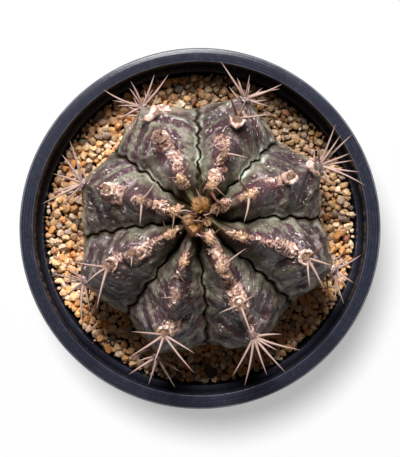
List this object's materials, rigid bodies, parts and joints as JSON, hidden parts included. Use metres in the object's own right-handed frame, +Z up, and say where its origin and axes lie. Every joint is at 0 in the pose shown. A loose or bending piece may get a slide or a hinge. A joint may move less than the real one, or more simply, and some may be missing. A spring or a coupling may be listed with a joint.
{
  "type": "potted round cactus",
  "caption": "Flattened, ribbed, spiny globe cactus standing in a round plastic nursery pot dressed with gravel.",
  "frame": {"origin": "centre of the pot's base, on the surface that it stands on", "axes": "+Z up along the pot's axis; +Y towards the top edge of the picture, +X towards its right edge"},
  "size_m": [0.09, 0.09, 0.1043],
  "materials": {
    "pot": "semi-matte charcoal moulded plastic, worn paler on the edges",
    "soil": "dark damp peat and grit; matte_plastic stands in for soil",
    "gravel": "mixed tan, amber and grey grit; matte_plastic stands in for stone",
    "pale_stone": "cream stone, dull",
    "dark_stone": "dark grey stone, dull",
    "amber_stone": "orange-brown stone, dull",
    "stem": "waxy grey-green skin banded with mauve, with corky scars and pale horny spines; matte_plastic stands in for plant tissue",
    "wool": "golden-tan felted wool with brown young spines"
  },
  "bodies": {
    "root": {"pot": "pot", "potting_soil": "soil", "gravel_dressing": "gravel", "pale_pebble": "pale_stone", "slate_pebble": "dark_stone", "black_pebble": "dark_stone", "amber_pebble": "amber_stone", "cactus_stem": "stem", "crown_wool": "wool"}
  },
  "joints": []
}
